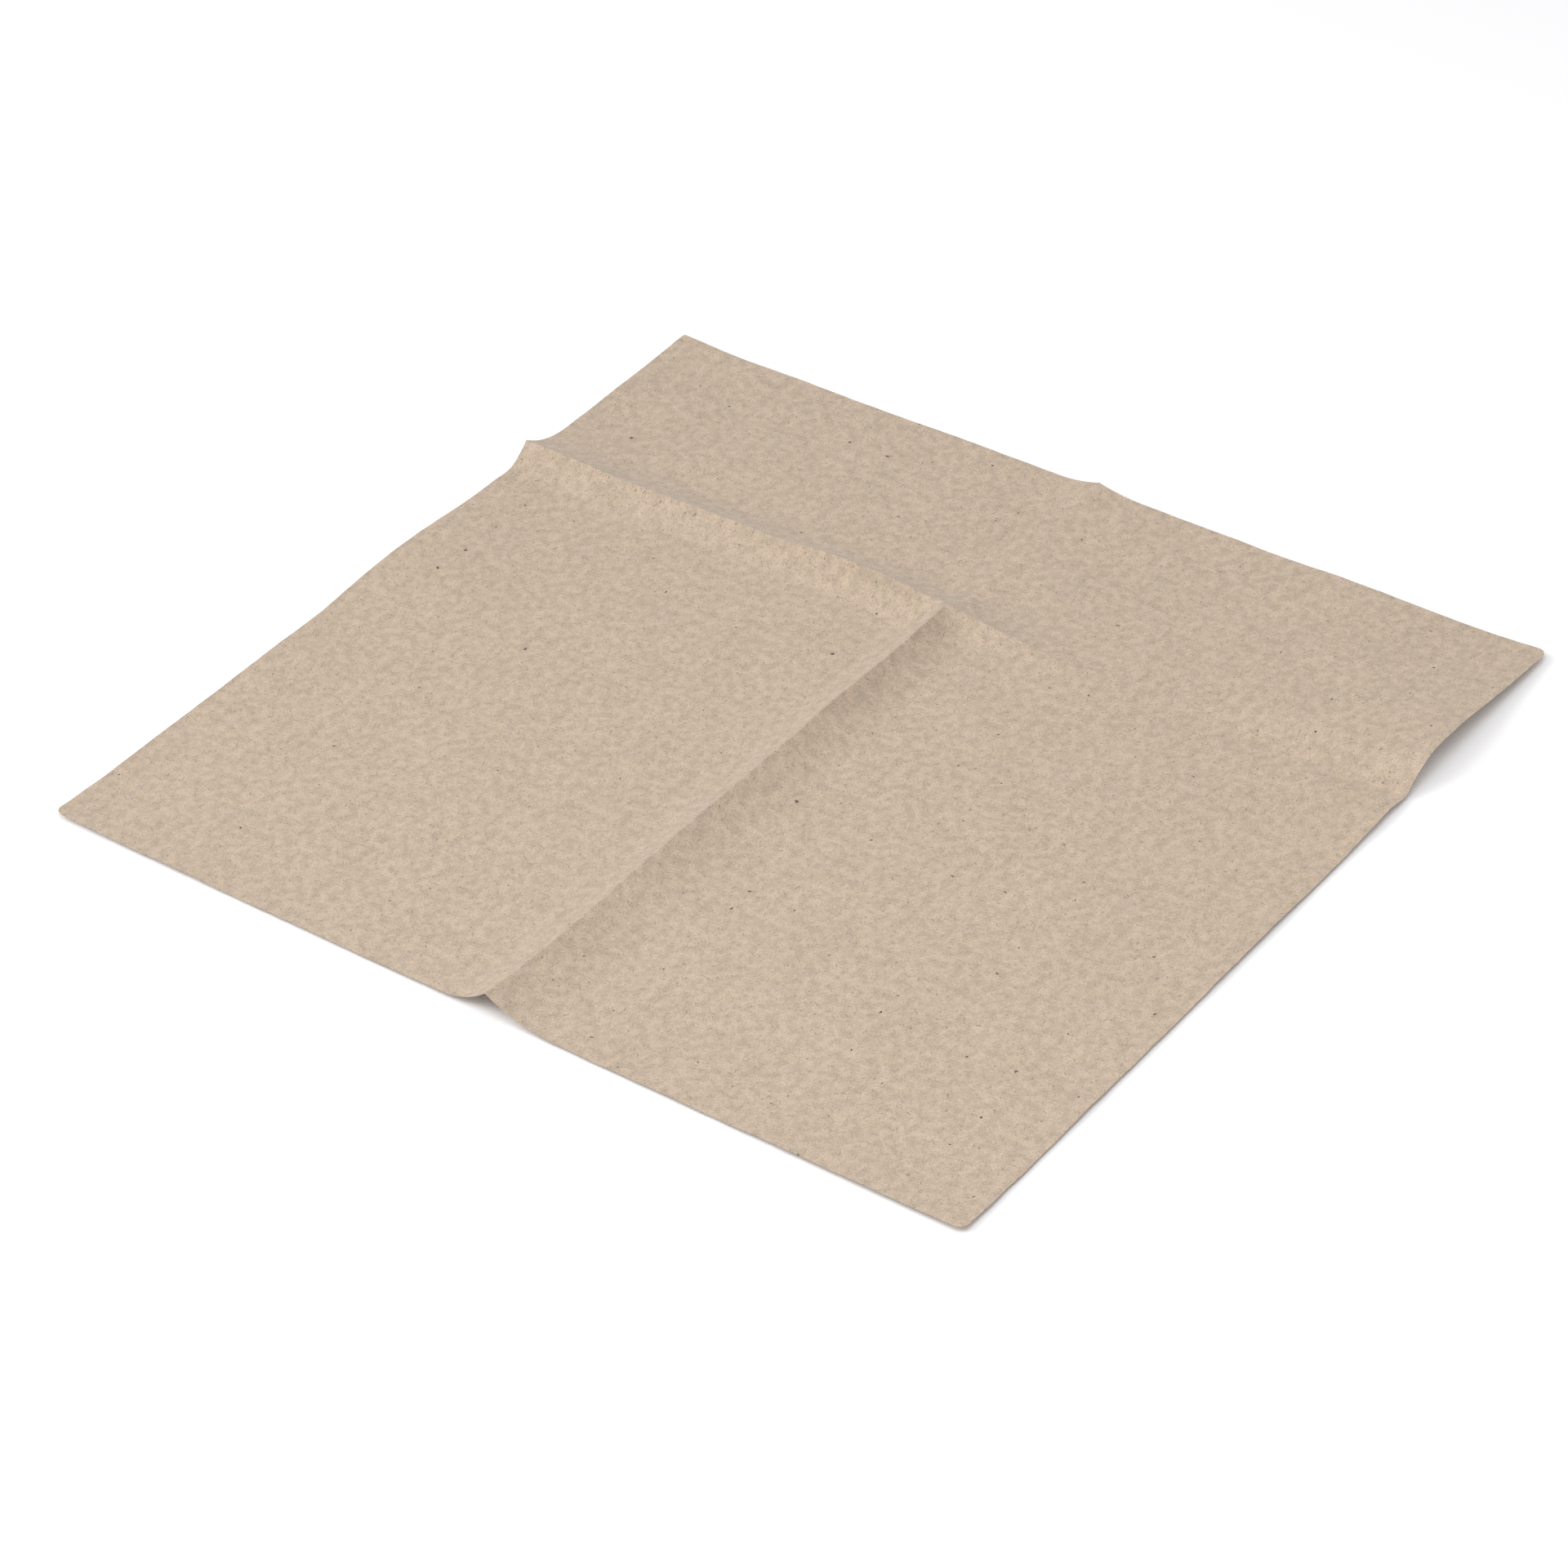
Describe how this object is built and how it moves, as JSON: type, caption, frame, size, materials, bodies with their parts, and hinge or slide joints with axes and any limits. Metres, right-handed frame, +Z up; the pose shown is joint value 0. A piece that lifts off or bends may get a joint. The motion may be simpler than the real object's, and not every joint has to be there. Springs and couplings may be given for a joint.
{
  "type": "paper napkin",
  "caption": "Unbleached paper napkin, opened out flat, with a ridge fold across its middle and a second fold that is half ridge and half valley.",
  "frame": {"origin": "bottom centre of the sheet, in the plane that it rests on", "axes": "+Z up from the table; +X along the sheet's long side, parallel to the second fold; +Y along the first fold, from the front edge to the edge nearer the second fold"},
  "size_m": [0.33, 0.305, 0.0091],
  "materials": {
    "tissue": "matte unbleached creped tissue, warm light brown with fine dark and pale fibres and a few dark specks"
  },
  "bodies": {
    "root": {"napkin": "tissue"}
  },
  "joints": []
}
